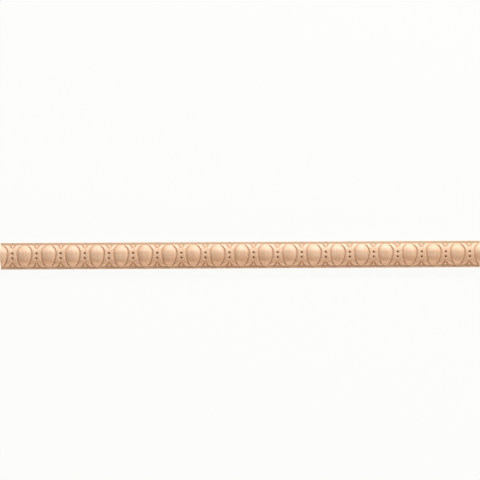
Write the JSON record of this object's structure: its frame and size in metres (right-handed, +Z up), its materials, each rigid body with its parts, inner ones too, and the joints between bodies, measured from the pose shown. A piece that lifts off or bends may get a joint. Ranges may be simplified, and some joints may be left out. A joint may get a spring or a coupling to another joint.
{
  "type": "egg-and-dart moulding strip",
  "caption": "Straight strip of carved hardwood trim: flat back, flat margins and a rounded band of eggs, shells and dotted darts in relief.",
  "frame": {"origin": "middle of the flat back face", "axes": "+X along the strip, +Y across it towards the broad ends of the eggs, +Z up out of the carved face"},
  "size_m": [0.457, 0.0254, 0.0095],
  "materials": {
    "wood": "smooth bare hardwood, pinkish tan, fine straight grain along the strip"
  },
  "bodies": {
    "root": {"moulding_strip": "wood"}
  },
  "joints": []
}
